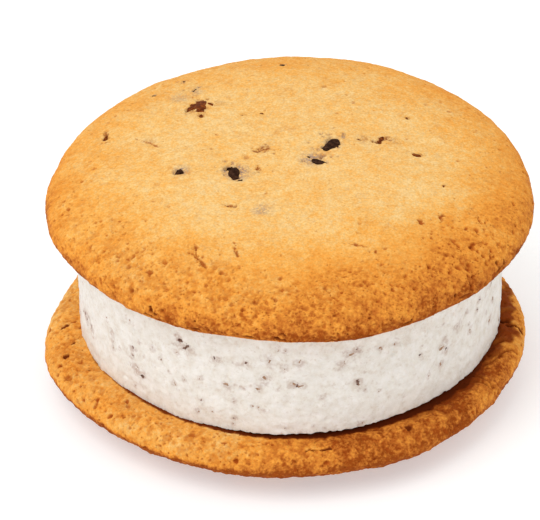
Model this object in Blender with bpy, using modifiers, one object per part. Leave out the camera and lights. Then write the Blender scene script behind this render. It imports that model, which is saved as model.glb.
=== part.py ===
"""An ice cream sandwich: a thick disc of ice cream between two round cookies.

The cookies' flat, baked undersides face the ice cream and their domed crowns face outwards. The
sandwich lies flat, on the lower cookie's crown, which is pressed flat where it touches the table.

Metres, +Z up. The origin is under the middle of the sandwich's box, at the height of the table.
"""

import math

import bpy
from mathutils import Vector

MM = 0.001

# The upper cookie: a wide, low dome whose lower edge is rounded.
TOP_RADIUS = 40.0 * MM
TOP_THICKNESS = 10.0 * MM
TOP_EDGE_INSET = 3.1 * MM
TOP_EDGE_HEIGHT = 2.1 * MM
TOP_SHIFT = Vector((0.2 * MM, 0.0, 0.0))
TOP_SLOPE_X = 0.005  # it sits a little higher on the right
TOP_SLOPE_Y = -0.004  # and at the front

# The lower cookie: the same shape turned over, with a fuller edge.
BOTTOM_RADIUS = 39.7 * MM
BOTTOM_THICKNESS = 9.5 * MM
BOTTOM_EDGE_INSET = 4.7 * MM
BOTTOM_EDGE_HEIGHT = 3.2 * MM
BOTTOM_SHIFT = Vector((-0.7 * MM, -1.9 * MM, 0.0))
FOOT_RADIUS = 16.0 * MM  # the flat spot that it rests on

# The ice cream: a disc with an upright side, narrower than the cookies.
ICE_RADIUS = 35.2 * MM
ICE_HEIGHT = 19.9 * MM
ICE_EDGE_ROUNDING = 0.4 * MM

# Each solid keeps this gap to its neighbour.
GAP = 0.3 * MM

# The rise of a crown from its shoulder is a superellipse: (1 - reach ** FLATNESS) ** (1 / SHOULDER).
TOP_FLATNESS, TOP_SHOULDER = 2.7, 2.2
BOTTOM_FLATNESS, BOTTOM_SHOULDER = 2.3, 1.75

# Outlines are uneven circles. Each wave is (number of lobes, height, direction of a crest in degrees),
# counted anticlockwise from +X.
TOP_WAVES = (
    (2, 0.25 * MM, 30),
    (3, 0.30 * MM, -45),
    (4, 0.17 * MM, 5),
    (5, 0.17 * MM, -10),
    (7, 0.15 * MM, -20),
)
BOTTOM_WAVES = (
    (2, 0.30 * MM, 25),
    (3, 0.45 * MM, -28),
    (4, 0.30 * MM, 19),
    (5, 0.35 * MM, -13),
    (6, 0.38 * MM, 7),
)
ICE_WAVES = (
    (2, 0.08 * MM, 60),
    (4, 0.12 * MM, 17),
    (5, 0.10 * MM, -16),
)

# Crowns carry broad, low lumps. Each is (height, wavelength, direction that it runs in, in degrees).
CROWN_LUMPS = (
    (0.16 * MM, 31 * MM, 20),
    (0.12 * MM, 22 * MM, 110),
    (0.09 * MM, 17 * MM, 65),
)

TURN_STEPS = 72
CROWN_STEPS = 10
EDGE_STEPS = 5
SIDE_STEPS = 4


def quarter_turn(steps):
    """Angles from 0 to 90 degrees, both ends included."""
    return [0.5 * math.pi * step / steps for step in range(steps + 1)]


def cookie_profile(radius, thickness, edge_inset, edge_height, crown_flat, flatness, shoulder):
    """Half section of a cookie with its crown up, as (distance from the axis, height) pairs.

    It runs from the middle of the crown, over the shoulder to the widest point, and round the lower
    edge to the middle of the flat side.
    """
    crown = []
    for angle in quarter_turn(CROWN_STEPS):
        reach = math.sin(angle)
        rise = (1 - reach**flatness) ** (1 / shoulder)
        crown.append(
            (
                crown_flat + (radius - crown_flat) * reach,
                edge_height + (thickness - edge_height) * rise,
            )
        )
    edge = [
        (
            radius - edge_inset * (1 - math.cos(angle)),
            edge_height * (1 - math.sin(angle)),
        )
        for angle in quarter_turn(EDGE_STEPS)[1:]
    ]
    middle = [(0.0, thickness)] if crown_flat else []
    return middle + crown + edge + [(0.0, 0.0)]


def turned_over(profile, thickness):
    """The same half section upside down, again from top to bottom."""
    return [(reach, thickness - height) for reach, height in reversed(profile)]


def disc_profile(radius, height, rounding):
    """Half section of an upright disc with rounded rims, from top to bottom."""
    rim = [
        (radius - rounding * (1 - math.sin(angle)), rounding * (1 - math.cos(angle)))
        for angle in quarter_turn(EDGE_STEPS - 2)
    ]
    upper = [(reach, height - drop) for reach, drop in rim]
    lower = [(reach, drop) for reach, drop in reversed(rim)]
    side_length = height - 2 * rounding
    side = [
        (radius, height - rounding - side_length * step / SIDE_STEPS)
        for step in range(1, SIDE_STEPS)
    ]
    return [(0.0, height)] + upper + side + lower + [(0.0, 0.0)]


def turned(name, profile, collection):
    """A closed solid turned from a half section about the Z axis."""
    section = bpy.data.meshes.new(name + "_section")
    points = [(reach, 0.0, height) for reach, height in profile]
    edges = [(index, index + 1) for index in range(len(points) - 1)]
    section.from_pydata(points, edges, [])
    obj = bpy.data.objects.new(name, section)
    collection.objects.link(obj)
    screw = obj.modifiers.new("Turn", "SCREW")
    screw.steps = screw.render_steps = TURN_STEPS
    screw.use_merge_vertices = True
    screw.merge_threshold = 0.01 * MM
    graph = bpy.context.evaluated_depsgraph_get()
    solid = bpy.data.meshes.new_from_object(obj.evaluated_get(graph))
    solid.name = name
    obj.modifiers.clear()
    obj.data = solid
    bpy.data.meshes.remove(section)
    return obj


def wave_height(waves, angle):
    """How far an uneven outline stands out of its circle at an angle."""
    return sum(
        height * math.cos(lobes * (angle - math.radians(crest)))
        for lobes, height, crest in waves
    )


def widen_unevenly(obj, radius, waves):
    """Stretch a turned solid sideways to an uneven outline."""
    for vertex in obj.data.vertices:
        x, y, _ = vertex.co
        scale = 1 + wave_height(waves, math.atan2(y, x)) / radius
        vertex.co.x *= scale
        vertex.co.y *= scale


def lump_height(x, y):
    """Height of the crown's broad lumps over a point."""
    total = 0.0
    for height, wavelength, direction in CROWN_LUMPS:
        turn = math.radians(direction)
        along = x * math.cos(turn) + y * math.sin(turn)
        total += height * math.sin(2 * math.pi * along / wavelength)
    return total


def add_crown_lumps(obj, radius, crown_flat, flat_side_z, edge_height):
    """Raise and lower a crown by its lumps. They die out at the widest point and at the flat spot."""
    for vertex in obj.data.vertices:
        if abs(vertex.co.z - flat_side_z) <= edge_height + 0.001 * MM:
            continue
        reach = math.hypot(vertex.co.x, vertex.co.y) / radius
        start = crown_flat / radius
        inner = min(1.0, max(0.0, reach - start) / 0.2) if crown_flat else 1.0
        outer = max(0.0, 1 - reach**4)
        vertex.co.z += lump_height(vertex.co.x, vertex.co.y) * inner * outer


def lean_upper_face(obj):
    """Slope the disc's upper face like the cookie that lies on it, and leave its lower face level."""
    for vertex in obj.data.vertices:
        share = vertex.co.z / ICE_HEIGHT
        vertex.co.z += share * (TOP_SLOPE_X * vertex.co.x + TOP_SLOPE_Y * vertex.co.y)


def plain_material(name, colour, roughness):
    material = bpy.data.materials.new(name)
    material.use_nodes = True
    shader = material.node_tree.nodes["Principled BSDF"]
    shader.inputs["Base Color"].default_value = (*colour, 1.0)
    shader.inputs["Roughness"].default_value = roughness
    shader.inputs["Metallic"].default_value = 0.0
    return material


def finish(obj, material):
    obj.data.materials.append(material)
    obj.data.shade_smooth()
    obj.data.set_sharp_from_angle(angle=math.radians(40))


def press_flat(obj, table_z):
    """Flatten whatever would reach below the table."""
    for vertex in obj.data.vertices:
        vertex.co.z = max(vertex.co.z, table_z)


def make_bottom_cookie(collection):
    """The lower cookie, crown down, with its flat side at BOTTOM_THICKNESS."""
    crown_up = cookie_profile(
        BOTTOM_RADIUS,
        BOTTOM_THICKNESS,
        BOTTOM_EDGE_INSET,
        BOTTOM_EDGE_HEIGHT,
        FOOT_RADIUS,
        BOTTOM_FLATNESS,
        BOTTOM_SHOULDER,
    )
    obj = turned("bottom_cookie", turned_over(crown_up, BOTTOM_THICKNESS), collection)
    add_crown_lumps(obj, BOTTOM_RADIUS, FOOT_RADIUS, BOTTOM_THICKNESS, BOTTOM_EDGE_HEIGHT)
    press_flat(obj, 0.0)
    widen_unevenly(obj, BOTTOM_RADIUS, BOTTOM_WAVES)
    obj.location = BOTTOM_SHIFT
    return obj


def make_ice_cream(collection):
    """The filling, standing just clear of the lower cookie's flat side."""
    profile = disc_profile(ICE_RADIUS, ICE_HEIGHT, ICE_EDGE_ROUNDING)
    obj = turned("ice_cream", profile, collection)
    widen_unevenly(obj, ICE_RADIUS, ICE_WAVES)
    lean_upper_face(obj)
    obj.location.z = BOTTOM_THICKNESS + GAP
    return obj


def make_top_cookie(collection):
    """The upper cookie, crown up, lying just clear of the ice cream's sloped upper face."""
    profile = cookie_profile(
        TOP_RADIUS,
        TOP_THICKNESS,
        TOP_EDGE_INSET,
        TOP_EDGE_HEIGHT,
        0.0,
        TOP_FLATNESS,
        TOP_SHOULDER,
    )
    obj = turned("top_cookie", profile, collection)
    add_crown_lumps(obj, TOP_RADIUS, 0.0, 0.0, TOP_EDGE_HEIGHT)
    widen_unevenly(obj, TOP_RADIUS, TOP_WAVES)
    obj.rotation_euler = (math.atan(TOP_SLOPE_Y), -math.atan(TOP_SLOPE_X), 0.0)
    obj.location = TOP_SHIFT
    obj.location.z = BOTTOM_THICKNESS + GAP + ICE_HEIGHT + GAP
    return obj


def centre_over_origin(objects, collection):
    """Parent the solids to an empty, and move it so that their box stands centred on the origin."""
    empty = bpy.data.objects.new("ice_cream_sandwich", None)
    collection.objects.link(empty)
    for obj in objects:
        obj.parent = empty
    bpy.context.view_layer.update()
    corners = [obj.matrix_world @ vertex.co for obj in objects for vertex in obj.data.vertices]
    low = Vector(min(corner[axis] for corner in corners) for axis in range(3))
    high = Vector(max(corner[axis] for corner in corners) for axis in range(3))
    empty.location = (-(low.x + high.x) / 2, -(low.y + high.y) / 2, -low.z)


def main():
    for obj in list(bpy.data.objects):
        bpy.data.objects.remove(obj, do_unlink=True)
    collection = bpy.data.collections.new("ice_cream_sandwich")
    bpy.context.scene.collection.children.link(collection)

    bottom_cookie = make_bottom_cookie(collection)
    ice_cream = make_ice_cream(collection)
    top_cookie = make_top_cookie(collection)
    finish(bottom_cookie, plain_material("bottom_cookie", (0.62, 0.26, 0.06), 0.75))
    finish(ice_cream, plain_material("ice_cream", (0.84, 0.77, 0.68), 0.50))
    finish(top_cookie, plain_material("top_cookie", (0.84, 0.48, 0.16), 0.75))
    centre_over_origin([bottom_cookie, ice_cream, top_cookie], collection)


main()
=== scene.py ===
"""Looks of the ice cream sandwich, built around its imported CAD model.

Each of the three CAD solids is replaced by a finely meshed piece with real relief: pores, crumb and
chips in the cookies, and a slightly uneven, flecked side on the ice cream. Metres, +Z up; -Y is the
front. An azimuth is counted in degrees round the sandwich from the front, positive to the right.
"""

import itertools
import math

import bmesh
import bpy
import numpy as np
from mathutils import Matrix, Vector, kdtree

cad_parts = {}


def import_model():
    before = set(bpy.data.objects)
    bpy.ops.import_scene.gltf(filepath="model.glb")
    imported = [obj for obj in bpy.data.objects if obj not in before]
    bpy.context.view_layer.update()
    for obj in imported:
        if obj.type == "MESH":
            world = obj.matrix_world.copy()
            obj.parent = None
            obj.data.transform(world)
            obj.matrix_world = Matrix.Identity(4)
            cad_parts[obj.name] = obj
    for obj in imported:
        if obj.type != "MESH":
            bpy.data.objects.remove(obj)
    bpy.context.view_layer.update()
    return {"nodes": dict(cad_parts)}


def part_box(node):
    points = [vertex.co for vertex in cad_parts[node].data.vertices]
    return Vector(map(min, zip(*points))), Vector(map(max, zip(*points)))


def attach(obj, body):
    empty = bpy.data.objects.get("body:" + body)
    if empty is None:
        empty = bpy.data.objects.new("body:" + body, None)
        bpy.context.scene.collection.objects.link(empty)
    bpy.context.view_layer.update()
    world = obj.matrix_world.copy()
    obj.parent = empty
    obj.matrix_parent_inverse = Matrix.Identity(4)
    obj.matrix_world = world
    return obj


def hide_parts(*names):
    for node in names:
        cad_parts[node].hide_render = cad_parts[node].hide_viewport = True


MM = 0.001
BODY = "root"

# Spacing of the fine mesh that the relief is cut into, and the most triangles that a piece keeps.
VOXEL = 0.21 * MM
MOST_TRIANGLES = 190_000

# The camera looks down on the front from a long way off, through a long lens.
CAMERA_ELEVATION = 35.5
CAMERA_DISTANCE = 650 * MM
CAMERA_LENS = 260.0
CAMERA_TARGET_SHIFT = Vector((-3.3 * MM, 0.1 * MM, 0.0))
CAMERA_TARGET_HEIGHT = 19.1 * MM

# One large, soft lamp stands at the upper left, over a wide floor.
KEY_PLACE = Vector((-0.42, -0.36, 0.84))
KEY_SIZE = 0.80
KEY_WATTS = 3.85
FLOOR_SIZE = 6.0

# The radius at which the width of the brim's wrinkles is measured.
BRIM_RADIUS = 37 * MM

# Chips that show in the upper cookie's crown: place to the right of and behind the origin (mm),
# length and width (mm), direction of the length (degrees from +X), how far the crust has opened over
# them (1 is bare, 0 is hidden under the skin), and the tint of the skin round them. The skin is grey
# round dark chips and rust round brown ones.
TOP_CHIPS = (
    (-8.8, -4.1, 3.9, 2.3, 100, 1.0, "grey"),
    (-9.4, -2.5, 1.0, 0.7, 20, 0.9, "grey"),
    (-7.6, -6.0, 0.8, 0.5, 0, 0.8, "grey"),
    (-17.6, -3.4, 1.7, 1.3, 35, 0.9, "grey"),
    (7.1, 3.6, 4.3, 2.0, 47, 1.0, "grey"),
    (5.0, -1.1, 2.7, 1.9, -30, 1.0, "grey"),
    (3.5, 0.2, 0.8, 0.6, 0, 1.0, "grey"),
    (15.4, 6.1, 1.8, 1.2, 70, 0.7, "rust"),
    (14.9, 4.9, 1.2, 0.8, 10, 0.7, "rust"),
    (12.0, 5.5, 1.1, 0.5, -20, 0.3, "rust"),
    (21.2, 2.3, 1.7, 0.8, -10, 0.7, "rust"),
    (19.9, 13.1, 0.8, 0.5, -40, 0.8, "rust"),
    (-14.8, 17.6, 3.8, 2.5, 80, 1.2, "rust"),
    (-14.5, 15.6, 1.9, 1.6, 20, 0.8, "rust"),
    (-16.1, 16.9, 2.3, 1.2, 70, 0.9, "rust"),
    (-14.2, 13.7, 1.9, 1.1, 80, 0.5, "rust"),
    (-12.9, 18.0, 1.2, 0.8, -30, 0.6, "rust"),
    (-17.3, 27.5, 1.5, 1.1, 0, 1.0, "grey"),
    (-22.5, 23.0, 0.8, 0.7, 0, 0.8, "grey"),
    (-15.6, 22.9, 1.8, 0.6, 55, 0.8, "grey"),
    (-7.5, 13.5, 0.7, 0.5, 60, 0.7, "rust"),
    (-4.2, 13.9, 0.7, 0.4, 0, 0.6, "rust"),
    (-30.2, 10.2, 2.7, 0.8, 85, 0.9, "rust"),
    (-3.7, 2.8, 2.3, 1.6, 20, 0.05, "rust"),
    (-4.9, -2.6, 1.7, 0.9, 80, 0.25, "rust"),
    (-9.7, -13.1, 1.6, 0.8, -25, 0.4, "rust"),
    (-0.7, 31.4, 1.7, 1.0, 10, 1.0, "grey"),
    (3.4, 31.0, 0.6, 0.4, 0, 0.8, "rust"),
    (25.3, -6.6, 0.6, 0.4, 80, 0.6, "rust"),
)

# Patches of skin over buried chips: place (mm), radius (mm), tint and strength.
TOP_VEILS = (
    (-8.1, -4.0, 3.2, "grey", 1.0),
    (4.0, -0.5, 2.8, "grey", 1.0),
    (7.2, 3.8, 2.6, "grey", 0.6),
    (-17.4, -3.3, 2.0, "grey", 0.9),
    (-4.0, -14.7, 2.4, "grey", 0.7),
    (-18.0, 20.5, 2.8, "grey", 0.5),
    (-15.4, 22.3, 2.0, "grey", 0.6),
    (-3.7, 2.8, 1.7, "rust", 0.6),
    (12.6, 5.7, 2.0, "rust", 0.5),
    (17.8, 5.6, 1.8, "rust", 0.4),
    (-14.9, 16.8, 2.4, "rust", 1.0),
    (-15.6, 15.6, 1.6, "rust", 0.9),
    (-14.4, 13.8, 1.5, "rust", 0.6),
    (-11.6, 17.8, 2.0, "rust", 0.4),
    (-22.8, 6.5, 2.0, "rust", 0.4),
)

# Short cracks in the upper cookie's crown: start and end (mm), width and depth (mm).
TOP_CRACKS = (
    (-25.4, 8.1, -23.0, 6.2, 0.24, 0.08),
    (-22.9, 6.4, -20.8, 4.1, 0.28, 0.10),
    (-14.8, -22.6, -14.4, -26.6, 0.40, 0.25),
    (-15.4, -24.5, -12.9, -27.8, 0.45, 0.30),
    (-8.6, -22.7, -8.0, -26.0, 0.35, 0.20),
    (9.5, -22.8, 12.5, -23.4, 0.30, 0.12),
    (26.2, -19.2, 27.6, -21.6, 0.55, 0.30),
    (29.0, -20.2, 30.6, -19.0, 0.45, 0.25),
    (22.0, -26.0, 23.8, -27.0, 0.50, 0.28),
    (30.5, -12.9, 30.9, -14.6, 0.45, 0.25),
)

# Hollows in the upper cookie's lower edge: azimuth (degrees), height over the edge (mm), length,
# height and depth (mm).
EDGE_HOLLOWS = (
    (-34.0, 1.5, 2.2, 0.7, 0.45),
    (-22.0, 1.4, 3.2, 0.8, 0.50),
    (-9.5, 1.4, 3.2, 0.7, 0.45),
    (-2.0, 1.3, 1.8, 0.6, 0.40),
    (10.5, 1.5, 2.6, 0.7, 0.45),
    (18.0, 1.6, 1.4, 0.5, 0.35),
    (27.0, 1.9, 1.8, 0.7, 0.45),
    (44.0, 2.4, 2.8, 0.6, 0.45),
    (57.0, 2.9, 2.4, 0.7, 0.45),
)

# Cracks in the lower cookie's brim, in the same form as TOP_CRACKS.
BRIM_CRACKS = (
    (2.9, -38.1, 4.9, -37.8, 0.32, 0.30),
    (5.1, -37.8, 7.1, -37.4, 0.34, 0.32),
    (35.9, -2.6, 37.7, -3.8, 1.10, 0.75),
    (37.4, -3.6, 39.2, -5.0, 0.90, 0.65),
)

# The brim's largest pores: place (mm), length and width (mm), direction (degrees from +X) and depth
# (mm).
BRIM_PORES = (
    (-35.3, -9.6, 1.1, 0.7, -60, 0.5),
    (-37.0, -12.6, 1.3, 0.8, 75, 0.5),
    (-37.2, -5.0, 1.3, 0.7, 20, 0.4),
    (-32.7, -17.2, 0.9, 0.4, -40, 0.3),
    (-34.0, -11.8, 0.8, 0.4, 80, 0.3),
    (19.6, -32.3, 1.1, 0.6, 40, 0.4),
)

# Flecks in the front of the ice cream: azimuth (degrees), height over its base (mm), length and
# width (mm), and how dark each is (1 is bare chocolate, 0 is a faint tan smear).
FRONT_FLECKS = (
    (-30.4, 14.8, 1.2, 0.9, 1.0),
    (-28.6, 14.3, 1.7, 0.9, 0.6),
    (-43.6, 4.5, 1.6, 1.1, 0.9),
    (-45.2, 5.6, 0.9, 0.5, 0.5),
    (-46.6, 9.0, 0.9, 0.6, 0.9),
    (-46.9, 7.5, 0.5, 0.4, 0.9),
    (-72.2, 6.1, 1.9, 0.7, 0.9),
    (-67.6, 5.2, 1.4, 0.5, 0.6),
    (-55.5, 9.4, 0.9, 0.6, 0.5),
    (-20.2, 13.4, 0.8, 0.6, 0.7),
    (-11.6, 13.8, 0.7, 0.5, 0.7),
    (-5.6, 14.4, 1.3, 0.9, 0.3),
    (-6.8, 10.8, 1.3, 0.9, 0.4),
    (-8.5, 9.0, 0.9, 0.7, 0.3),
    (-17.0, 8.8, 0.9, 0.6, 0.3),
    (1.4, 9.9, 1.0, 0.9, 0.8),
    (0.4, 10.3, 0.9, 0.8, 0.5),
    (2.6, 9.7, 1.0, 0.7, 0.5),
    (2.2, 14.5, 1.3, 0.6, 0.4),
    (18.0, 9.5, 1.2, 1.1, 1.0),
    (13.9, 13.7, 1.3, 0.9, 0.5),
    (15.2, 15.0, 1.6, 0.7, 0.4),
    (17.2, 16.0, 0.9, 0.6, 0.9),
    (46.0, 8.8, 1.0, 0.7, 0.6),
    (45.2, 9.8, 1.5, 0.8, 0.4),
    (44.6, 6.3, 1.0, 0.6, 0.3),
    (50.5, 12.4, 1.2, 0.7, 0.6),
    (62.0, 13.2, 0.9, 0.6, 0.7),
    (61.0, 11.6, 0.7, 0.5, 0.6),
    (72.0, 9.0, 0.9, 0.6, 0.5),
    (70.0, 5.8, 1.2, 0.6, 0.5),
    (-36.5, 9.8, 0.6, 0.5, 0.4),
    (-15.0, 2.3, 0.5, 0.4, 0.7),
    (24.0, 14.8, 0.8, 0.5, 0.5),
)

# Small specks all round the ice cream, larger flecks at its back, and chips in the crown that faces
# down, all placed at random.
RANDOM_FLECKS = 150
BACK_FLECKS = 14
UNDERSIDE_CHIPS = 9

# How thick the shards of chocolate are in the crusts and in the ice cream.
CHIP_THICKNESS = 1.4 * MM
FLECK_THICKNESS = 0.35 * MM

# Wrinkles across the lower cookie's brim: azimuth where each leaves the ice cream, how far it slants
# by the rim (degrees), and its depth (mm).
BRIM_WRINKLES = (
    (38, 6, 0.40),
    (46, 9, 0.50),
    (54, 6, 0.55),
    (58, 3, 0.40),
    (67, 9, 0.60),
    (74, 4, 0.45),
    (84, 8, 0.50),
)


def smoothstep(low, high, value):
    """0 below low, 1 above high, and a smooth rise between them."""
    share = np.clip((value - low) / (high - low), 0.0, 1.0)
    return share * share * (3 - 2 * share)


def bump(value, middle, width):
    """A smooth hill of height 1 at middle, gone at about twice the width from it."""
    return np.exp(-(((value - middle) / width) ** 2))


# ---------------------------------------------------------------- noise

LATTICE = 32


def noise(points, size, seed):
    """Smooth noise from about -1 to 1 at each point, with features about `size` across."""
    rng = np.random.default_rng(seed)
    values = rng.uniform(-1.0, 1.0, (LATTICE, LATTICE, LATTICE))
    turn, _ = np.linalg.qr(rng.normal(size=(3, 3)))
    where = points @ turn / size + rng.uniform(0, LATTICE, 3)
    low = np.floor(where).astype(np.int64)
    share = where - low
    share = share**3 * (share * (share * 6 - 15) + 10)
    total = np.zeros(len(points))
    for corner in itertools.product((0, 1), repeat=3):
        cell = (low + corner) % LATTICE
        weight = np.where(corner, share, 1 - share).prod(axis=1)
        total += weight * values[cell[:, 0], cell[:, 1], cell[:, 2]]
    return 1.6 * total


def fractal(points, size, seed, octaves=3):
    """Noise in several sizes, each half as large and half as high as the one before."""
    return sum(
        noise(points, size / 2**octave, seed + octave) / 2**octave for octave in range(octaves)
    )


# ---------------------------------------------------------------- meshes


def add_object(name, mesh):
    obj = bpy.data.objects.new(name, mesh)
    bpy.context.scene.collection.objects.link(obj)
    return obj


def apply_modifiers(obj):
    """Replace an object's mesh by its evaluated one."""
    graph = bpy.context.evaluated_depsgraph_get()
    mesh = bpy.data.meshes.new_from_object(obj.evaluated_get(graph))
    mesh.name = obj.name
    obj.modifiers.clear()
    old = obj.data
    obj.data = mesh
    bpy.data.meshes.remove(old)


def fine_copy(frame, node, name):
    """A new object with the CAD node's shape, its facets rounded off, in even, fine quads."""
    mesh = frame["nodes"][node].data.copy()
    mesh.materials.clear()
    shape = bmesh.new()
    shape.from_mesh(mesh)
    bmesh.ops.remove_doubles(shape, verts=shape.verts, dist=0.001 * MM)
    bmesh.ops.join_triangles(
        shape,
        faces=shape.faces,
        angle_face_threshold=math.radians(20),
        angle_shape_threshold=math.radians(60),
    )
    shape.to_mesh(mesh)
    shape.free()
    obj = add_object(name, mesh)
    rounding = obj.modifiers.new("Round off", "SUBSURF")
    rounding.levels = rounding.render_levels = 2
    remesh = obj.modifiers.new("Fine quads", "REMESH")
    remesh.mode = "VOXEL"
    remesh.voxel_size = VOXEL
    smooth = obj.modifiers.new("Even out", "SMOOTH")
    smooth.factor = 0.5
    smooth.iterations = 6
    apply_modifiers(obj)
    return obj


def thin_out(obj):
    """Collapse edges where the surface is plain until the piece has few enough triangles."""
    mesh = obj.data
    triangles = len(mesh.loops) - 2 * len(mesh.polygons)
    if triangles > MOST_TRIANGLES:
        decimate = obj.modifiers.new("Thin out", "DECIMATE")
        decimate.ratio = MOST_TRIANGLES / triangles
        decimate.use_collapse_triangulate = True
        apply_modifiers(obj)
    obj.data.shade_smooth()


class Relief:
    """The fine surface of a piece: how far each point moves along its normal, and what tints it."""

    def __init__(self, obj, seed):
        self.mesh = obj.data
        count = len(self.mesh.vertices)
        self.points = np.empty(3 * count, np.float32)
        self.mesh.vertices.foreach_get("co", self.points)
        self.points = self.points.reshape(-1, 3).astype(float)
        self.normals = np.empty(3 * count, np.float32)
        self.mesh.vertices.foreach_get("normal", self.normals)
        self.normals = self.normals.reshape(-1, 3).astype(float)
        self.height = np.zeros(count)
        self.tints = {}
        self.rng = np.random.default_rng(seed)
        self.wobble = 0.8 * noise(self.points, 1.1 * MM, seed + 50)
        self.wobble += 0.6 * noise(self.points, 0.55 * MM, seed + 51)
        self.tree = kdtree.KDTree(count)
        for index, point in enumerate(self.points):
            self.tree.insert(point, index)
        self.tree.balance()

    def tint(self, name):
        """The 0 to 1 values of a tint, which the material reads as an attribute."""
        return self.tints.setdefault(name, np.zeros(len(self.points)))

    def patch(self, centre, length, width, direction, wobble):
        """Indices near a point, and how far each is from it: 0 in the middle, 1 at the outline.

        The outline is an ellipse, made uneven by the wobble.
        """
        reach = 0.5 * max(length, width) * 1.6
        found = self.tree.find_range(centre, reach)
        index = np.array([item[1] for item in found], dtype=np.int64)
        if not len(index):
            return index, np.zeros(0)
        away = self.points[index] - np.array(centre)
        normal = self.normals[self.tree.find(centre)[1]]
        along = np.array(direction, float)
        along -= (along @ normal) * normal
        along /= max(np.linalg.norm(along), 1e-9)
        across = np.cross(normal, along)
        distance = np.hypot(away @ along / (0.5 * length), away @ across / (0.5 * width))
        return index, distance * (1 + wobble * self.wobble[index])

    def dent(self, centre, length, width, direction, depth, wobble=0.4, tint=None, strength=1.0):
        """Press a rounded hollow into the surface, and tint its inside."""
        index, distance = self.patch(centre, length, width, direction, wobble)
        hollow = np.clip(1 - distance**2, 0, 1) ** 1.5
        self.height[index] -= depth * hollow
        if tint:
            values = self.tint(tint)
            values[index] = np.maximum(values[index], strength * np.clip(1.4 * hollow, 0, 1))

    def stain(self, centre, radius, tint, strength, wobble=0.15, core=0.1):
        """Tint a round, soft patch, which is full inside its core."""
        index, distance = self.patch(centre, 2 * radius, 2 * radius, (1, 0, 0.1), wobble)
        values = self.tint(tint)
        values[index] = np.maximum(values[index], strength * smoothstep(1.0, core, distance))

    def pick(self, weights, count):
        """Random points of the surface, more of them where the weights are high."""
        return self.rng.choice(len(self.points), count, replace=False, p=weights / weights.sum())

    def pores(self, weights, count, smallest, largest, depth_share, tint, strength):
        """Scatter uneven pores. Most of them are small."""
        for index in self.pick(weights, count):
            size = smallest + (largest - smallest) * self.rng.random() ** 2.5
            stretch = self.rng.uniform(1.0, 1.9)
            angle = self.rng.uniform(0, math.pi)
            self.dent(
                self.points[index],
                size * stretch,
                size,
                (math.cos(angle), math.sin(angle), self.rng.uniform(-1, 1)),
                size * depth_share,
                0.6,
                tint,
                strength * self.rng.uniform(0.55, 1.0),
            )

    def crack(self, start, end, width, depth, tint):
        """Press a ragged crack along a straight line between two surface points."""
        along = end - start
        steps = int(np.linalg.norm(along) / (0.4 * width)) + 1
        for share in np.linspace(0, 1, steps):
            size = width * self.rng.uniform(0.6, 1.2) * math.sin(math.pi * (0.15 + 0.7 * share))
            place = start + share * along + self.rng.normal(0, 0.25 * width, 3)
            self.dent(place, 1.8 * size, size, along, depth * 0.7, 0.5, tint, 0.8)

    def granules(self, mask, spacing, height, tint):
        """Cover the masked surface with uneven crumbs, with painted shade of the given tint in the
        cracks between them.

        Each crumb has its own shade, from -1 to 1, which is returned for every point.
        """
        where = np.nonzero(mask > 0.02)[0]
        seeds = self.rng.choice(where, int(len(where) * (VOXEL / spacing) ** 2), replace=False)
        shades = self.rng.uniform(-1, 1, len(seeds))
        tree = kdtree.KDTree(len(seeds))
        for number, index in enumerate(seeds):
            tree.insert(self.points[index], number)
        tree.balance()
        gaps = np.empty(len(where))
        crumbs = np.empty(len(where), np.int64)
        warped = self.points[where] + 0.4 * spacing * self.wobble[where, None]
        for row, point in enumerate(warped):
            nearest, second = tree.find_n(point, 2)
            gaps[row] = second[2] - nearest[2]
            crumbs[row] = nearest[1]
        dome = smoothstep(0.0, 0.5, gaps / spacing)
        uneven = 0.6 + 0.4 * shades[crumbs]
        self.height[where] += mask[where] * height * (dome * uneven - 0.5)
        values = self.tint(tint)
        values[where] = np.maximum(values[where], 0.34 * mask[where] * (1 - dome) ** 2)
        shade = np.zeros(len(self.points))
        shade[where] = mask[where] * shades[crumbs] * dome
        return shade

    def settle(self, lowest=0.0):
        """Move the mesh's points, none below the lowest height, and store the tints."""
        moved = self.points + self.normals * self.height[:, None]
        moved[:, 2] = np.maximum(moved[:, 2], lowest)
        self.mesh.vertices.foreach_set("co", moved.astype(np.float32).ravel())
        for name, values in self.tints.items():
            attribute = self.mesh.attributes.new(name, "FLOAT", "POINT")
            attribute.data.foreach_set("value", np.clip(values, 0, 1).astype(np.float32))
        self.mesh.update()


def round_size(node):
    """The middle of a round CAD node, its radius, and the heights of its bottom and top."""
    low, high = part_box(node)
    return (low + high) / 2, (high.x - low.x) / 2, low.z, high.z


def round_place(points, centre):
    """Distance from the axis and azimuth in degrees (0 at the front, positive to the right)."""
    x = points[:, 0] - centre.x
    y = points[:, 1] - centre.y
    return np.hypot(x, y), np.degrees(np.arctan2(x, -y))


def level_direction(degrees):
    """The level unit vector at an angle from +X."""
    angle = math.radians(degrees)
    return (math.cos(angle), math.sin(angle), 0.0)


def outward_direction(azimuth):
    """The level unit vector that points outwards at an azimuth."""
    angle = math.radians(azimuth)
    return Vector((math.sin(angle), -math.cos(angle), 0.0))


def facing(azimuth, towards, width):
    """1 for points that face an azimuth, falling to 0 at `width` degrees from it."""
    away = np.abs((azimuth - towards + 180) % 360 - 180)
    return 1 - smoothstep(0.0, width, away)


# ---------------------------------------------------------------- chocolate


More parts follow.
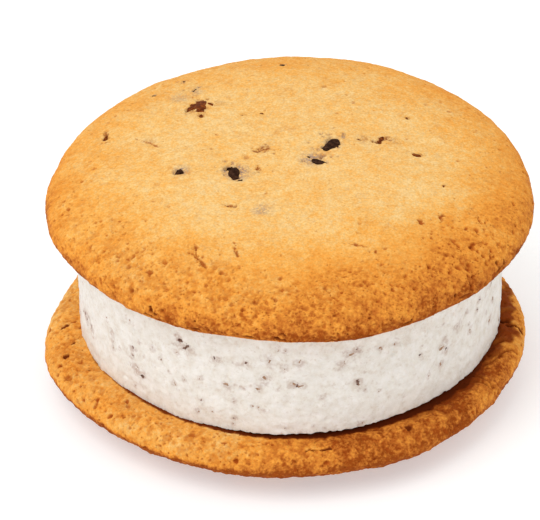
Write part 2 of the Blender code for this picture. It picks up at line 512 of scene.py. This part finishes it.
def chip_shape(length, width, thickness, rng):
    """A shard of chocolate about the origin, long in X: a ball cut flat on a few sides and on top."""
    shape = bmesh.new()
    bmesh.ops.create_icosphere(shape, subdivisions=4, radius=0.5)
    turn = rng.uniform(0, 2 * math.pi)
    cuts = []
    for side in range(5):
        angle = turn + (side + rng.uniform(-0.3, 0.3)) * 2 * math.pi / 5
        normal = Vector((math.cos(angle), math.sin(angle), rng.uniform(-0.2, 0.3)))
        cuts.append((normal.normalized(), rng.uniform(0.30, 0.42)))
    for _ in range(3):
        normal = Vector((rng.normal(0, 0.45), rng.normal(0, 0.45), 1.0))
        cuts.append((normal.normalized(), rng.uniform(0.28, 0.38)))
    for vertex in shape.verts:
        for normal, depth in cuts:
            over = vertex.co.dot(normal) - depth
            if over > 0:
                vertex.co -= normal * over * 0.95
    points = np.array([vertex.co for vertex in shape.verts])
    rough = 0.03 * fractal(points, 0.30, int(rng.integers(1, 10_000)), 2)
    for vertex, amount in zip(shape.verts, rough):
        vertex.co += vertex.co.normalized() * amount
        vertex.co.x *= length
        vertex.co.y *= width
        vertex.co.z *= thickness
    return shape


def joined(name, shapes):
    """One object from several (bmesh, matrix) pairs."""
    whole = bmesh.new()
    for shape, matrix in shapes:
        shape.transform(matrix)
        part = bpy.data.meshes.new("part")
        shape.to_mesh(part)
        shape.free()
        whole.from_mesh(part)
        bpy.data.meshes.remove(part)
    mesh = bpy.data.meshes.new(name)
    whole.to_mesh(mesh)
    whole.free()
    mesh.shade_smooth()
    return add_object(name, mesh)


def seated(point, normal, direction, sink):
    """Matrix that puts a shape's Z along a surface's normal and its X along a direction, sunk in."""
    up = Vector(normal).normalized()
    along = Vector(direction)
    along = (along - up * along.dot(up)).normalized()
    across = up.cross(along)
    turn = Matrix((along, across, up)).transposed().to_4x4()
    return Matrix.Translation(Vector(point) - up * sink) @ turn


# ---------------------------------------------------------------- cookies


def crust_relief(relief, exposed, rim, rough):
    """The relief that both cookies share: broad lumps, fine grain, and crumb where it is rough, with
    painted shade in the crumb's hollows, in fine lines and in the pores.

    It returns a shade for every point: above 0 where the crumb is darker, below 0 where lighter.
    Besides each crumb's own tone and fine random tone, it holds a painted highlight on raised crumb
    and painted shade on low crumb where the surface is rough.
    """
    points = relief.points
    crumb = fractal(points, 0.85 * MM, 31, 2)
    relief.height += 0.09 * MM * fractal(points, 9 * MM, 11)
    relief.height += 0.04 * MM * exposed * fractal(points, 2.6 * MM, 21)
    relief.height += MM * exposed * (0.016 + 0.06 * rough) * crumb
    relief.height += rough * 0.05 * MM * fractal(points, 2.2 * MM, 41)
    # Painted shade darkens the crumb's hollows and the fine pressed lines.
    hollows = smoothstep(0.15, 1.0, -crumb) * (0.07 + 0.36 * rough)
    lines = smoothstep(0.12, 0.0, np.abs(noise(points, 2.0 * MM, 23)))
    lines *= smoothstep(-0.1, 0.5, noise(points, 4.0 * MM, 24)) * (1 - rough) * exposed
    relief.height -= 0.03 * MM * lines
    relief.tints["pit_shade"] = np.maximum(exposed * hollows, 0.22 * lines)
    clumps = np.clip(0.65 + 0.6 * noise(points, 3 * MM, 51), 0, 1)
    shade = relief.granules(rough * clumps, 0.74 * MM, 0.15 * MM, "pit_shade")
    relief.pores(exposed * (0.1 + rim), 1100, 0.22 * MM, 0.45 * MM, 0.5, "pit_shade", 0.6)
    fine = noise(points, 0.45 * MM, 61)
    # Raised crumb lighter and low crumb darker: a painted highlight and painted shade.
    return 0.7 * shade - rough * (0.5 * np.clip(crumb, -1, 1) + 0.8 * fine)


def surface_point(relief, x, y, upwards):
    """The surface point over (or under) a place in plan, with its normal."""
    sign = 1.0 if upwards else -1.0
    near = np.hypot(relief.points[:, 0] - x, relief.points[:, 1] - y)
    near[relief.normals[:, 2] * sign < 0.1] = np.inf
    index = int(np.argmin(near))
    return relief.points[index], relief.normals[index]


def bury_chips(relief, chips, upwards):
    """Open the crust over each chip, and return the shards in the openings, by the skin's tint."""
    shards = {"grey": [], "rust": []}
    for x, y, length, width, direction, open_share, tint in chips:
        point, normal = surface_point(relief, x * MM, y * MM, upwards)
        along = level_direction(direction)
        depth = (0.22 + 0.30 * open_share) * MM
        relief.dent(point, 1.25 * length * MM, 1.25 * width * MM, along, depth, 0.6, tint, 0.9)
        shard = chip_shape(1.25 * length * MM, 1.3 * width * MM, CHIP_THICKNESS, relief.rng)
        sink = 0.33 * CHIP_THICKNESS + (0.34 - 0.30 * open_share) * MM
        shards[tint].append((shard, seated(point, normal, along, sink)))
    return shards


def open_edge_hollows(relief, centre, edge, radius):
    """Press in the hollows of the upper cookie's lower edge, darkened inside with painted shade."""
    for azimuth, height, length, tall, depth in EDGE_HOLLOWS:
        place = centre + outward_direction(azimuth) * radius
        place.z = edge + height * MM
        along = level_direction(azimuth)
        surface = relief.tree.find(place)[0]
        relief.dent(surface, length * MM, tall * MM, along, depth * MM, 0.7, "crevice_shade", 0.6)


def open_cracks(relief, cracks, tint):
    """Press in the cracks of an upper face, with painted shade of the given tint inside them."""
    for x0, y0, x1, y1, width, depth in cracks:
        start, _ = surface_point(relief, x0 * MM, y0 * MM, True)
        end, _ = surface_point(relief, x1 * MM, y1 * MM, True)
        relief.crack(start, end, width * MM, depth * MM, tint)


def open_brim_pores(relief):
    """Press in the largest pores of the lower cookie's brim, darkened inside with painted shade."""
    for x, y, length, width, direction, depth in BRIM_PORES:
        point, _ = surface_point(relief, x * MM, y * MM, True)
        along = level_direction(direction)
        relief.dent(point, length * MM, width * MM, along, depth * MM, 0.7, "crevice_shade", 0.7)


def make_top_cookie(frame):
    """The upper cookie: a smooth pale crown, and a browned rim that is porous at the front."""
    crust = fine_copy(frame, "top_cookie", "top_cookie_crust")
    centre, rim_radius, bottom, top = round_size("top_cookie")
    relief = Relief(crust, 3)
    radius, azimuth = round_place(relief.points, centre)
    rise = (relief.points[:, 2] - bottom) / (top - bottom)
    out = radius / rim_radius
    exposed = 1 - smoothstep(-0.6, -0.95, relief.normals[:, 2])

    front = facing(azimuth, 0, 120)
    rim = smoothstep(0.60, 0.95, out) * (0.25 + 0.75 * front)
    rough = smoothstep(0.62, 0.92, out + 0.06 * noise(relief.points, 7 * MM, 5))
    rough = exposed * rough * (0.2 + 0.8 * front)
    shade = crust_relief(relief, exposed, rim, rough)
    front_left = facing(azimuth, -28, 34)
    front_right = facing(azimuth, 52, 30)
    # Pores, cracks and the lower edge's hollows, each with painted shade inside.
    relief.pores(rough**2, 1000, 0.25 * MM, 0.48 * MM, 0.7, "pit_shade", 0.8)
    relief.pores(rough * front_left, 180, 0.30 * MM, 0.62 * MM, 0.50, "pit_shade", 0.50)
    relief.pores(rough * front_right, 80, 0.30 * MM, 0.70 * MM, 0.7, "pit_shade", 1.0)
    shards = bury_chips(relief, TOP_CHIPS, True)
    open_cracks(relief, TOP_CRACKS, "pit_shade")
    open_edge_hollows(relief, centre, bottom, rim_radius)
    for x, y, size, tint, strength in TOP_VEILS:
        point, _ = surface_point(relief, x * MM, y * MM, True)
        relief.stain(point, size * MM, tint, strength)

    warmth = 0.27 + 0.38 * facing(azimuth, 30, 125)
    # The browned band starts further out on the right, which keeps the crown's right paler: painted
    # light where the lamp at the left leaves it darker. The crumb's shade brings a painted highlight
    # on raised crumb and painted shade between.
    start = 0.42 + 0.16 * facing(azimuth, 95, 65)
    browning_and_painted_light = 0.13 + warmth * smoothstep(start, 1.03, out) + 0.09 * shade
    browning_and_painted_light += 0.15 * smoothstep(0.90, 1.0, out) * facing(azimuth, -75, 60)
    browning_and_painted_light -= 0.10 * smoothstep(0.80, 0.92, out) * facing(azimuth, -28, 40)
    # Darker towards the lower edge: a browner baked edge, and painted shade on the rounding that
    # faces down.
    uneven_rise = rise + 0.07 * noise(relief.points, 2.2 * MM, 7)
    browning_and_painted_light += 0.36 * smoothstep(0.46, 0.06, uneven_rise) * smoothstep(0.8, 0.95, out)
    browning_and_painted_light += 0.07 * noise(relief.points, 6 * MM, 6) * smoothstep(0.2, 0.9, out)
    relief.tints["browning_and_painted_light"] = np.maximum(browning_and_painted_light, 0.13) * exposed + 0.6 * (1 - exposed)
    relief.settle()
    thin_out(crust)
    return crust, shards


def make_bottom_cookie(frame):
    """The lower cookie, crown down: a porous brim, wrinkled on the right, round the ice cream."""
    crust = fine_copy(frame, "bottom_cookie", "bottom_cookie_crust")
    centre, rim_radius, bottom, top = round_size("bottom_cookie")
    ice_centre, ice_radius, _, _ = round_size("ice_cream")
    relief = Relief(crust, 8)
    radius, azimuth = round_place(relief.points, centre)
    ice_distance, ice_azimuth = round_place(relief.points, ice_centre)
    rise = (relief.points[:, 2] - bottom) / (top - bottom)
    out = radius / rim_radius
    beyond_ice = ice_distance - ice_radius
    upper = smoothstep(-0.1, 0.5, relief.normals[:, 2])
    under_ice = smoothstep(-1.0 * MM, -2.0 * MM, beyond_ice) * (relief.normals[:, 2] > 0.5)
    exposed = 1 - under_ice

    rim = exposed * smoothstep(0.75, 0.95, out)
    rough = exposed * smoothstep(0.78, 0.9, out) * smoothstep(0.1, 0.5, rise)
    rough *= 1 - 0.5 * smoothstep(0.95, 1.0, out)
    shade = crust_relief(relief, exposed, rim, rough)
    # Pores and cracks in the brim, each with painted shade inside.
    relief.pores(rough, 1500, 0.25 * MM, 0.55 * MM, 0.7, "pit_shade", 1.0)
    add_brim_shape(relief, beyond_ice, ice_azimuth, upper)
    open_cracks(relief, BRIM_CRACKS, "crevice_shade")
    open_brim_pores(relief)
    chips = random_underside_chips(relief.rng, rim_radius)
    shards = bury_chips(relief, chips, False)

    # Browner on the right, painted shade where the lamp at the left leaves that side darker, and
    # paler at the front left, a painted highlight.
    warmth = 0.40 + 0.50 * facing(azimuth, 45, 88) - 0.12 * facing(azimuth, -20, 22)
    crown = 0.15 + 0.8 * smoothstep(0.45, 0.9, out)
    level = smoothstep(-0.3, 0.4, relief.normals[:, 2])
    # The crumb's shade brings a painted highlight on raised crumb and painted shade between.
    browning_and_painted_light = crown * (1 - level) + warmth * level + 0.12 * shade
    browning_and_painted_light -= 0.16 * bump(beyond_ice, 4.3 * MM, 1.0 * MM) * level * facing(azimuth, 75, 40)
    # Darker where the brim turns down at the front: a browner skin, and painted shade on the side
    # that faces the floor.
    turned_down = smoothstep(0.85, 0.35, relief.normals[:, 2]) * level
    browning_and_painted_light += 0.18 * turned_down * facing(azimuth, 8, 60)
    browning_and_painted_light += 0.08 * noise(relief.points, 5 * MM, 9)
    relief.tints["browning_and_painted_light"] = np.maximum(browning_and_painted_light, 0.20)
    relief.settle(bottom + 0.02 * MM)
    thin_out(crust)
    return crust, shards


def add_brim_shape(relief, beyond_ice, azimuth, upper):
    """The groove by the ice cream, the curled ridge beyond it, and the wrinkles on the right, with
    painted shade in the groove, in a valley by the ice cream on the right, and in the wrinkles'
    folds.
    """
    right = facing(azimuth, 60, 62)
    folded = smoothstep(28, 46, azimuth) * smoothstep(115, 95, azimuth)
    ragged = noise(relief.points, 1.8 * MM, 77)
    groove = bump(beyond_ice, 0.2 * MM, (0.9 + 0.4 * folded) * MM) * upper * (0.10 + 0.90 * right)
    relief.height -= 0.55 * MM * groove
    ridge = bump(beyond_ice, 3.4 * MM, 1.2 * MM) * upper * right
    relief.height += 0.30 * MM * ridge

    # Painted shade: a dark line just beyond the ice cream's edge, and a dark valley by it on the
    # right.
    edge = 0.20 + 0.25 * facing(azimuth, 10, 60) + 0.14 * relief.wobble + 0.35 * ragged * folded
    dark = smoothstep(0.25, -0.15, beyond_ice / MM - edge) * upper
    reach = 1.2 + 1.2 * smoothstep(64, 80, azimuth) + 0.9 * ragged
    valley = smoothstep(0.7, -0.4, beyond_ice / MM - reach) * folded * upper
    crevice_shade = relief.tint("crevice_shade")
    crevice_shade[:] = np.maximum(dark * facing(azimuth, 20, 90) ** 0.25, 0.48 * valley)
    pit_shade = relief.tint("pit_shade")
    pit_shade[:] = np.maximum(pit_shade, valley)

    across = np.clip(beyond_ice / (5 * MM), 0, 1)
    on_brim = upper * smoothstep(-0.5 * MM, 0.5 * MM, beyond_ice)
    bend = 2.0 * noise(relief.points, 4 * MM, 78) + 0.2 * relief.wobble
    broken = smoothstep(-0.6, 0.3, noise(relief.points, 3 * MM, 79))
    for start, slant, depth in BRIM_WRINKLES:
        line = start + slant * across + bend
        away = (azimuth - line) * math.radians(1) * BRIM_RADIUS
        fold = bump(away, 0.0, 0.34 * MM) * on_brim * broken * (1 - 0.75 * across)
        swell = bump(away, 1.1 * MM, 0.8 * MM) * on_brim * broken * (1 - 0.7 * across)
        relief.height += depth * MM * (0.6 * swell - 1.2 * fold)
        # Painted shade in each fold, and less of it on the swell beside.
        pit_shade[:] = np.maximum(pit_shade * (1 - 0.5 * swell), fold)
        crevice_shade[:] = np.maximum(crevice_shade, 0.45 * fold)


def random_underside_chips(rng, rim_radius):
    """A few chips in the crown that faces down, in the same form as TOP_CHIPS."""
    chips = []
    for _ in range(UNDERSIDE_CHIPS):
        reach = 0.8 * rim_radius / MM * math.sqrt(rng.uniform(0.1, 1.0))
        angle = rng.uniform(0, 2 * math.pi)
        length = rng.uniform(1.2, 4.5)
        chips.append(
            (
                reach * math.cos(angle),
                reach * math.sin(angle),
                length,
                length * rng.uniform(0.45, 0.75),
                rng.uniform(0, 180),
                rng.uniform(0.6, 1.0),
                "rust",
            )
        )
    return chips


# ---------------------------------------------------------------- ice cream


def make_ice_cream(frame):
    """The filling: an upright, slightly uneven side, reaching just into both cookies."""
    ice = fine_copy(frame, "ice_cream", "ice_cream_filling")
    centre, radius, bottom, top = round_size("ice_cream")
    relief = Relief(ice, 14)
    side = smoothstep(0.6, 0.2, np.abs(relief.normals[:, 2]))
    height = relief.points[:, 2] - bottom

    relief.height += side * 0.14 * MM * fractal(relief.points, 6 * MM, 61)
    relief.height += side * 0.06 * MM * fractal(relief.points, 1.6 * MM, 71)
    relief.height += side * 0.032 * MM * noise(relief.points, 0.6 * MM, 81)
    relief.pores(0.0001 + side, 300, 0.3 * MM, 0.8 * MM, 0.25, None, 0.0)
    torn = bump(height, 0.2 * MM, 0.5 * MM) * side
    relief.height += torn * 0.16 * MM * noise(relief.points, 0.55 * MM, 91)

    flecks = {"dark": [], "tan": []}
    for fleck in FRONT_FLECKS + random_flecks(relief.rng, top - bottom):
        add_fleck(relief, centre, radius, bottom, fleck, flecks)
    relief.settle()
    reach_into_cookies(ice, centre, radius, bottom, top)
    thin_out(ice)
    return ice, flecks


def random_flecks(rng, height):
    """Small specks all round the side and flecks at its back, in the same form as FRONT_FLECKS."""
    flecks = []
    for _ in range(RANDOM_FLECKS):
        size = rng.uniform(0.16, 0.45)
        flecks.append(
            (
                rng.uniform(-180, 180),
                rng.uniform(0.04, 0.95) * height / MM,
                size * rng.uniform(1.0, 1.8),
                size,
                rng.choice((0.25, 0.35, 0.6), p=(0.5, 0.35, 0.15)),
            )
        )
    for _ in range(BACK_FLECKS):
        size = rng.uniform(0.5, 1.1)
        azimuth = rng.uniform(95, 265)
        flecks.append(
            (azimuth, rng.uniform(0.1, 0.9) * height / MM, 1.5 * size, size, rng.uniform(0.4, 1.0))
        )
    return tuple(flecks)


def add_fleck(relief, centre, radius, bottom, fleck, flecks):
    """Set one fleck flush in the side, with a faint stain round it."""
    azimuth, height, length, width, darkness = fleck
    outward = outward_direction(azimuth)
    guess = centre + outward * radius
    guess.z = bottom + height * MM
    point, index, _ = relief.tree.find(guess)
    spread = (0.75 * length + 0.4) * MM
    relief.stain(point, spread, "stain", 0.6 + 0.4 * darkness, 0.5, 0.3)
    slant = relief.rng.uniform(0, math.pi)
    along = Vector((-outward.y, outward.x, 0)) * math.cos(slant) + Vector((0, 0, math.sin(slant)))
    shape = chip_shape(1.3 * length * MM, 1.3 * width * MM, FLECK_THICKNESS, relief.rng)
    raised = point + Vector(relief.normals[index]) * relief.height[index]
    matrix = seated(raised, relief.normals[index], along, 0.32 * FLECK_THICKNESS)
    flecks["dark" if darkness > 0.5 else "tan"].append((shape, matrix))


def reach_into_cookies(ice, centre, ice_radius, bottom, top):
    """Stretch the two flat faces across the gaps to the cookies, and sharpen the lower edge.

    The rim of the lower face stays up at the front right, where the ice cream's edge stands clear.
    """
    reach = 0.45 * MM
    points = np.array([vertex.co for vertex in ice.data.vertices])
    radius, azimuth = round_place(points, centre)
    height = points[:, 2] - bottom

    wall = (height > 1.2 * MM) & (height < 2.2 * MM) & (radius > ice_radius - 2.2 * MM)
    outline = np.interp(azimuth, azimuth[wall], radius[wall], period=360)
    rim = smoothstep(ice_radius - 1.3 * MM, ice_radius - 0.5 * MM, radius)
    wider = 1 + (outline / np.maximum(radius, MM) - 1) * rim * smoothstep(1.2 * MM, 0.5 * MM, height)
    points[:, 0] = centre.x + (points[:, 0] - centre.x) * wider
    points[:, 1] = centre.y + (points[:, 1] - centre.y) * wider
    serrated = 0.12 * MM * noise(points, 0.6 * MM, 92) * rim * smoothstep(0.6 * MM, 0.0, height)

    near_rim = smoothstep(ice_radius - 1.6 * MM, ice_radius - 0.8 * MM, radius)
    lifted = facing(azimuth, 22, 62) * near_rim
    up = smoothstep(top - 1.2 * MM, top - 0.3 * MM, points[:, 2])
    down = smoothstep(0.8 * MM, 0.05 * MM, height)
    points[:, 2] += reach * (up - down * (1 - lifted)) + 0.25 * MM * down * lifted + serrated
    ice.data.vertices.foreach_set("co", points.astype(np.float32).ravel())
    ice.data.update()


# ---------------------------------------------------------------- materials


def add_node(tree, kind, inputs=None, **settings):
    """A shader node with its settings, and its inputs set or linked by name or number."""
    node = tree.nodes.new(kind)
    for name, value in settings.items():
        setattr(node, name, value)
    for name, value in (inputs or {}).items():
        if isinstance(value, bpy.types.NodeSocket):
            tree.links.new(value, node.inputs[name])
        else:
            node.inputs[name].default_value = value
    return node


def attribute(tree, name):
    return add_node(tree, "ShaderNodeAttribute", attribute_name=name).outputs["Fac"]


def noise_texture(tree, size, detail=3.0, roughness=0.55):
    """Noise in object space whose features are about `size` across."""
    where = add_node(tree, "ShaderNodeTexCoord").outputs["Object"]
    inputs = {"Vector": where, "Scale": 1 / size, "Detail": detail, "Roughness": roughness}
    return add_node(tree, "ShaderNodeTexNoise", inputs).outputs[0]


def maths(tree, operation, first, second):
    node = add_node(tree, "ShaderNodeMath", {0: first, 1: second}, operation=operation)
    return node.outputs[0]


def mixed(tree, share, first, second, blend="MIX"):
    """Mix two colours; sockets 6 and 7 are the mix node's two colour inputs."""
    inputs = {0: share, 6: first, 7: second}
    node = add_node(tree, "ShaderNodeMix", inputs, data_type="RGBA", blend_type=blend)
    return node.outputs[2]


def colour_ramp(tree, share, stops):
    node = add_node(tree, "ShaderNodeValToRGB", {0: share})
    elements = node.color_ramp.elements
    while len(elements) < len(stops):
        elements.new(1.0)
    for element, (position, colour) in zip(elements, stops):
        element.position = position
        element.color = (*colour, 1.0)
    return node.outputs["Color"]


def new_material(name, **settings):
    """A material, its node tree and its Principled shader, with constants set on its sockets."""
    material = bpy.data.materials.new(name)
    material.use_nodes = True
    shader = material.node_tree.nodes["Principled BSDF"]
    for socket, value in settings.items():
        shader.inputs[socket.replace("_", " ")].default_value = value
    return material, material.node_tree, shader


def centred(tree, value, amount):
    """Noise from 0 to 1, turned into a change of up to plus or minus about half the amount."""
    return maths(tree, "MULTIPLY", maths(tree, "SUBTRACT", value, 0.5), amount)


def crust_material(name):
    """Baked dough: pale gold, through orange, to brown, with painted shade in its hollows: red-brown
    in pores and cracks, nearly black in the deepest and by the ice cream.
    """
    material, tree, shader = new_material(name, Roughness=0.75, Specular_IOR_Level=0.05)
    patches = centred(tree, noise_texture(tree, 6 * MM, 2.0), 0.30)
    mottle = centred(tree, noise_texture(tree, 1.4 * MM, 3.0, 0.6), 0.58)
    specks = centred(tree, noise_texture(tree, 0.42 * MM, 3.0, 0.7), 0.75)
    uneven = maths(tree, "ADD", patches, maths(tree, "ADD", mottle, specks))
    browning_and_painted_light = maths(tree, "ADD", attribute(tree, "browning_and_painted_light"), uneven)
    baked = colour_ramp(
        tree,
        browning_and_painted_light,
        (
            (0.0, (0.80, 0.55, 0.24)),
            (0.15, (0.79, 0.475, 0.158)),
            (0.35, (0.79, 0.385, 0.083)),
            (0.60, (0.75, 0.294, 0.041)),
            (0.80, (0.56, 0.188, 0.028)),
            (1.0, (0.26, 0.055, 0.005)),
        ),
    )
    grain = noise_texture(tree, 0.38 * MM, 3.0, 0.7)
    lighter = maths(tree, "ADD", 1.0, centred(tree, grain, 0.75))
    grained = mixed(tree, 1.0, baked, grey_of(tree, lighter), "MULTIPLY")
    speckled = maths(tree, "MULTIPLY", attribute(tree, "grey"), speckles(tree, 0.35 * MM))
    veiled = mixed(tree, speckled, grained, (0.30, 0.22, 0.19, 1))
    rusty = maths(tree, "MULTIPLY", attribute(tree, "rust"), speckles(tree, 0.6 * MM))
    stained = mixed(tree, rusty, veiled, (0.26, 0.06, 0.012, 1))
    crevice_shade = attribute(tree, "crevice_shade")
    # Painted shade: red-brown in pores and cracks, nearly black-brown in the deepest hollows and by
    # the ice cream.
    painted_shade_share = maths(tree, "MAXIMUM", attribute(tree, "pit_shade"), maths(tree, "MULTIPLY", crevice_shade, 1.6))
    pore_shaded = mixed(tree, painted_shade_share, stained, (0.36, 0.07, 0.007, 1))
    hollow = mixed(tree, crevice_shade, pore_shaded, (0.075, 0.010, 0.001, 1))
    tree.links.new(hollow, shader.inputs["Base Color"])
    height = maths(tree, "ADD", noise_texture(tree, 0.55 * MM, 3.0, 0.6), grain)
    inputs = {"Strength": 0.6, "Distance": 0.07 * MM, "Height": height}
    tree.links.new(add_node(tree, "ShaderNodeBump", inputs).outputs[0], shader.inputs["Normal"])
    return material


def speckles(tree, size):
    """Noise pushed towards 0 and 1, for speckles about `size` across."""
    node = add_node(tree, "ShaderNodeMapRange", {0: noise_texture(tree, size, 3.0, 0.65)})
    node.inputs["From Min"].default_value = 0.38
    node.inputs["From Max"].default_value = 0.58
    return node.outputs[0]


def grey_of(tree, value):
    return add_node(tree, "ShaderNodeCombineColor", {0: value, 1: value, 2: value}).outputs[0]


def chocolate_material(name, dark, light):
    """Chocolate, cloudy from dark to light, dull from baking or frost."""
    material, tree, shader = new_material(name, Roughness=0.5, Specular_IOR_Level=0.04)
    cloud = noise_texture(tree, 0.5 * MM, 3.0, 0.65)
    shade = colour_ramp(tree, cloud, ((0.42, dark), (0.66, light)))
    tree.links.new(shade, shader.inputs["Base Color"])
    inputs = {"Strength": 0.4, "Distance": 0.05 * MM, "Height": noise_texture(tree, 0.25 * MM)}
    tree.links.new(add_node(tree, "ShaderNodeBump", inputs).outputs[0], shader.inputs["Normal"])
    return material


def ice_cream_material(name):
    """Frozen cream: warm white, faintly mottled, a little light passing through."""
    material, tree, shader = new_material(
        name,
        Roughness=0.55,
        Specular_IOR_Level=0.3,
        Subsurface_Weight=0.2,
        Subsurface_Scale=0.8 * MM,
    )
    shader.inputs["Subsurface Radius"].default_value = (1.0, 0.85, 0.65)
    cloud = noise_texture(tree, 1.8 * MM, 5.0, 0.7)
    cream = colour_ramp(
        tree,
        cloud,
        ((0.30, (0.64, 0.575, 0.505)), (0.44, (0.715, 0.68, 0.625)), (0.64, (0.79, 0.765, 0.73))),
    )
    dusty = add_node(tree, "ShaderNodeMapRange", {0: noise_texture(tree, 0.7 * MM, 3.0, 0.7)})
    dusty.inputs["From Min"].default_value = 0.56
    dusty.inputs["From Max"].default_value = 0.74
    dusty.inputs["To Max"].default_value = 0.48
    cream = mixed(tree, dusty.outputs[0], cream, (0.50, 0.40, 0.32, 1))
    uneven = maths(tree, "ADD", 0.25, speckles(tree, 0.5 * MM))
    stain = maths(tree, "MULTIPLY", attribute(tree, "stain"), maths(tree, "MULTIPLY", uneven, 0.6))
    stained = mixed(tree, stain, cream, (0.40, 0.27, 0.22, 1))
    tree.links.new(stained, shader.inputs["Base Color"])
    fine = noise_texture(tree, 0.25 * MM, 2.0, 0.6)
    height = maths(tree, "ADD", noise_texture(tree, 0.8 * MM, 4.0, 0.65), fine)
    inputs = {"Strength": 0.5, "Distance": 0.07 * MM, "Height": height}
    tree.links.new(add_node(tree, "ShaderNodeBump", inputs).outputs[0], shader.inputs["Normal"])
    return material


def floor_material():
    material, tree, shader = new_material("floor", Roughness=0.9, Specular_IOR_Level=0.1)
    cloud = noise_texture(tree, 90 * MM, 2.0)
    shade = colour_ramp(tree, cloud, ((0.0, (0.72, 0.72, 0.72)), (1.0, (0.74, 0.74, 0.74))))
    tree.links.new(shade, shader.inputs["Base Color"])
    shader.inputs["Emission Color"].default_value = (0.94, 1.0, 1.05, 1.0)
    shader.inputs["Emission Strength"].default_value = 0.36
    return material


# ---------------------------------------------------------------- stage, lights and camera


def add_floor():
    bpy.ops.mesh.primitive_plane_add(size=FLOOR_SIZE)
    floor = bpy.context.object
    floor.name = "floor"
    floor.data.materials.append(floor_material())


def add_key_light(aim):
    """The soft lamp at the upper left, turned to face the sandwich."""
    data = bpy.data.lights.new("key", "AREA")
    data.shape = "DISK"
    data.size = KEY_SIZE
    data.energy = KEY_WATTS
    light = bpy.data.objects.new("key", data)
    bpy.context.scene.collection.objects.link(light)
    light.location = KEY_PLACE
    light.rotation_euler = (aim - KEY_PLACE).to_track_quat("-Z", "Y").to_euler()


def add_surroundings():
    """An even, nearly white light from all sides."""
    world = bpy.data.worlds.new("studio")
    world.use_nodes = True
    background = world.node_tree.nodes["Background"]
    background.inputs["Color"].default_value = (1.0, 0.97, 0.93, 1.0)
    background.inputs["Strength"].default_value = 0.92
    bpy.context.scene.world = world


def add_camera(middle):
    data = bpy.data.cameras.new("camera")
    data.sensor_width = 36.0
    data.lens = CAMERA_LENS
    data.clip_start = 0.01
    data.clip_end = 20.0
    camera = bpy.data.objects.new("camera", data)
    bpy.context.scene.collection.objects.link(camera)
    elevation = math.radians(CAMERA_ELEVATION)
    back = Vector((0.0, -math.cos(elevation), math.sin(elevation)))
    target = Vector((middle.x, middle.y, CAMERA_TARGET_HEIGHT)) + CAMERA_TARGET_SHIFT
    camera.location = target + back * CAMERA_DISTANCE
    camera.rotation_euler = (-back).to_track_quat("-Z", "Y").to_euler()
    bpy.context.scene.camera = camera


def finish_piece(obj, material, node=None):
    """Give a piece its material and its body, and hide the CAD node that it stands for."""
    obj.data.materials.clear()
    obj.data.materials.append(material)
    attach(obj, BODY)
    if node:
        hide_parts(node)


def main():
    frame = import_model()
    middle = round_size("ice_cream")[0]

    top, top_shards = make_top_cookie(frame)
    bottom, bottom_shards = make_bottom_cookie(frame)
    ice, flecks = make_ice_cream(frame)
    # The dark chips' lighter cloud is partly uneven chocolate and partly a painted sheen, standing
    # for facets that catch the light.
    chocolate = chocolate_material("chocolate", (0.020, 0.006, 0.002), (0.065, 0.026, 0.012))
    brown = chocolate_material("brown_chocolate", (0.090, 0.016, 0.002), (0.28, 0.070, 0.008))
    finish_piece(top, crust_material("top_crust"), "top_cookie")
    finish_piece(bottom, crust_material("bottom_crust"), "bottom_cookie")
    finish_piece(ice, ice_cream_material("ice_cream"), "ice_cream")
    finish_piece(joined("top_dark_chips", top_shards["grey"]), chocolate)
    finish_piece(joined("top_brown_chips", top_shards["rust"]), brown)
    finish_piece(joined("bottom_chips", bottom_shards["rust"]), brown)
    filmed = chocolate_material("filmed_chocolate", (0.095, 0.048, 0.036), (0.28, 0.18, 0.14))
    finish_piece(joined("dark_flecks", flecks["dark"]), filmed)
    tan = chocolate_material("tan_speck", (0.30, 0.18, 0.11), (0.46, 0.31, 0.21))
    finish_piece(joined("tan_flecks", flecks["tan"]), tan)

    add_floor()
    add_key_light(middle)
    add_surroundings()
    add_camera(middle)
    bpy.context.scene.view_settings.view_transform = "Standard"


main()
